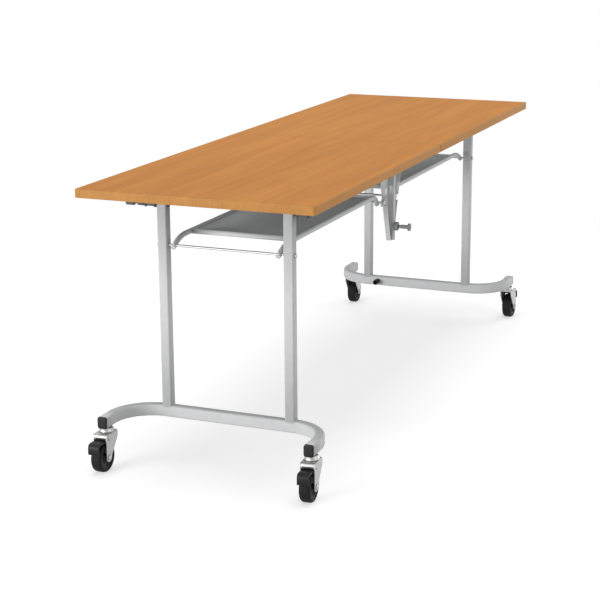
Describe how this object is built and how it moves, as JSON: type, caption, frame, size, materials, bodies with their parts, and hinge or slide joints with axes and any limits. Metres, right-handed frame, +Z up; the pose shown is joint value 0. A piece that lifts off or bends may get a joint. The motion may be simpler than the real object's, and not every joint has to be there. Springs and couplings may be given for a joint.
{
  "type": "centre-folding training table",
  "caption": "Long training table on casters that folds upright at its centre, with a split tube-framed shelf, C-shaped bases, a pull-knob lock and a wood-print top",
  "frame": {"origin": "on the floor under the centre of the table", "axes": "X along the table's length, Y across it, +Z up"},
  "size_m": [1.8318, 0.6, 0.7],
  "materials": {
    "laminate": "warm wood-print laminate",
    "edge_band": "plastic edge band with wood print",
    "grey_paint": "silver-grey powder coat",
    "shelf_paint": "grey powder coat",
    "zinc": "zinc-plated steel",
    "black_paint": "black powder coat",
    "black_plastic": "moulded black plastic",
    "black_rubber": "black rubber",
    "grey_plastic": "moulded grey plastic"
  },
  "bodies": {
    "left_leg": {"left_base_tube": "grey_paint", "left_post_front": "grey_paint", "left_hinge_pin_front": "black_paint", "left_base_cap_front": "black_plastic", "left_post_back": "grey_paint", "left_hinge_pin_back": "black_paint", "left_base_cap_back": "black_plastic"},
    "left_top": {"left_board": "laminate", "left_edge_band": "edge_band", "left_leg_bracket_front": "black_paint", "left_centre_bracket_front": "grey_paint", "left_leg_bracket_back": "black_paint", "left_centre_bracket_back": "grey_paint"},
    "left_shelf": {"left_shelf_frame": "grey_paint", "left_shelf_panel": "shelf_paint", "left_shelf_rod_outer": "zinc", "left_shelf_rod_inner": "zinc"},
    "right_leg": {"right_base_tube": "grey_paint", "right_post_front": "grey_paint", "right_hinge_pin_front": "black_paint", "right_base_cap_front": "black_plastic", "right_post_back": "grey_paint", "right_hinge_pin_back": "black_paint", "right_base_cap_back": "black_plastic", "right_buffer": "black_rubber"},
    "right_top": {"right_board": "laminate", "right_edge_band": "edge_band", "right_leg_bracket_front": "black_paint", "right_centre_bracket_front": "grey_paint", "right_leg_bracket_back": "black_paint", "right_centre_bracket_back": "grey_paint"},
    "right_shelf": {"right_shelf_frame": "grey_paint", "right_shelf_panel": "shelf_paint", "right_shelf_rod_outer": "zinc", "right_shelf_rod_inner": "zinc", "lock_arm": "zinc"},
    "hanger": {"hanger_plate_front": "grey_paint", "hanger_plate_back": "grey_paint", "hanger_shaft_left": "zinc", "hanger_shaft_right": "zinc", "lock_housing": "grey_plastic"},
    "lock": {"lock_plunger": "zinc"},
    "left_front_swivel": {"left_front_caster_fork": "zinc", "left_front_caster_axle": "zinc"},
    "left_front_wheel": {"left_front_caster_wheel": "black_rubber"},
    "left_front_pedal": {"left_front_brake_pedal": "black_plastic"},
    "left_back_swivel": {"left_back_caster_fork": "zinc", "left_back_caster_axle": "zinc"},
    "left_back_wheel": {"left_back_caster_wheel": "black_rubber"},
    "left_back_pedal": {"left_back_brake_pedal": "black_plastic"},
    "right_back_swivel": {"right_back_caster_fork": "zinc", "right_back_caster_axle": "zinc"},
    "right_back_wheel": {"right_back_caster_wheel": "black_rubber"},
    "right_back_pedal": {"right_back_brake_pedal": "black_plastic"},
    "right_front_swivel": {"right_front_caster_fork": "zinc", "right_front_caster_axle": "zinc"},
    "right_front_wheel": {"right_front_caster_wheel": "black_rubber"},
    "right_front_pedal": {"right_front_brake_pedal": "black_plastic"}
  },
  "joints": [
    {"name": "fold", "type": "hinge", "parent": "left_leg", "child": "left_top", "pos_m": [-0.718, 0, 0.64], "axis": [0, -1, 0], "range_deg": [0, 92]},
    {"name": "hanger_pivot", "type": "hinge", "parent": "left_top", "child": "hanger", "pos_m": [-0.05, 0, 0.64], "axis": [0, 1, 0], "range_deg": [0, 92]},
    {"name": "right_top_pivot", "type": "hinge", "parent": "hanger", "child": "right_top", "pos_m": [0.05, 0, 0.64], "axis": [0, 1, 0], "range_deg": [0, 92]},
    {"name": "right_leg_pivot", "type": "hinge", "parent": "right_top", "child": "right_leg", "pos_m": [0.718, 0, 0.64], "axis": [0, -1, 0], "range_deg": [0, 92]},
    {"name": "left_shelf_pivot", "type": "hinge", "parent": "left_leg", "child": "left_shelf", "pos_m": [-0.718, 0, 0.541], "axis": [0, -1, 0], "range_deg": [0, 92]},
    {"name": "right_shelf_pivot", "type": "hinge", "parent": "hanger", "child": "right_shelf", "pos_m": [0.05, 0, 0.541], "axis": [0, 1, 0], "range_deg": [0, 92]},
    {"name": "lock_slide", "type": "slide", "parent": "hanger", "child": "lock", "axis": [0, 1, 0], "range_m": [0, 0.006]},
    {"name": "left_front_swivel_turn", "type": "hinge", "parent": "left_leg", "child": "left_front_swivel", "pos_m": [-0.846, -0.269, 0.1], "axis": [0, 0, 1], "continuous": true},
    {"name": "left_front_wheel_spin", "type": "hinge", "parent": "left_front_swivel", "child": "left_front_wheel", "pos_m": [-0.86994, -0.27067, 0.0375], "axis": [-0.0698, 0.9976, 0], "continuous": true},
    {"name": "left_front_pedal_press", "type": "hinge", "parent": "left_front_swivel", "child": "left_front_pedal", "pos_m": [-0.87194, -0.27081, 0.083], "axis": [0.0698, -0.9976, 0], "range_deg": [0, 8]},
    {"name": "left_back_swivel_turn", "type": "hinge", "parent": "left_leg", "child": "left_back_swivel", "pos_m": [-0.846, 0.269, 0.1], "axis": [0, 0, 1], "continuous": true},
    {"name": "left_back_wheel_spin", "type": "hinge", "parent": "left_back_swivel", "child": "left_back_wheel", "pos_m": [-0.87, 0.269, 0.0375], "axis": [0, 1, 0], "continuous": true},
    {"name": "left_back_pedal_press", "type": "hinge", "parent": "left_back_swivel", "child": "left_back_pedal", "pos_m": [-0.872, 0.269, 0.083], "axis": [0, -1, 0], "range_deg": [0, 8]},
    {"name": "right_back_swivel_turn", "type": "hinge", "parent": "right_leg", "child": "right_back_swivel", "pos_m": [0.846, 0.269, 0.1], "axis": [0, 0, 1], "continuous": true},
    {"name": "right_back_wheel_spin", "type": "hinge", "parent": "right_back_swivel", "child": "right_back_wheel", "pos_m": [0.86994, 0.27067, 0.0375], "axis": [0.0698, -0.9976, 0], "continuous": true},
    {"name": "right_back_pedal_press", "type": "hinge", "parent": "right_back_swivel", "child": "right_back_pedal", "pos_m": [0.87194, 0.27081, 0.083], "axis": [-0.0698, 0.9976, 0], "range_deg": [0, 8]},
    {"name": "right_front_swivel_turn", "type": "hinge", "parent": "right_leg", "child": "right_front_swivel", "pos_m": [0.846, -0.269, 0.1], "axis": [0, 0, 1], "continuous": true},
    {"name": "right_front_wheel_spin", "type": "hinge", "parent": "right_front_swivel", "child": "right_front_wheel", "pos_m": [0.87, -0.269, 0.0375], "axis": [0, -1, 0], "continuous": true},
    {"name": "right_front_pedal_press", "type": "hinge", "parent": "right_front_swivel", "child": "right_front_pedal", "pos_m": [0.872, -0.269, 0.083], "axis": [0, 1, 0], "range_deg": [0, 8]}
  ],
  "couplings": [
    {"joint": "hanger_pivot", "follows": "fold", "ratio": 1},
    {"joint": "right_top_pivot", "follows": "fold", "ratio": 1},
    {"joint": "right_leg_pivot", "follows": "fold", "ratio": 1},
    {"joint": "left_shelf_pivot", "follows": "fold", "ratio": 1},
    {"joint": "right_shelf_pivot", "follows": "fold", "ratio": 1}
  ]
}
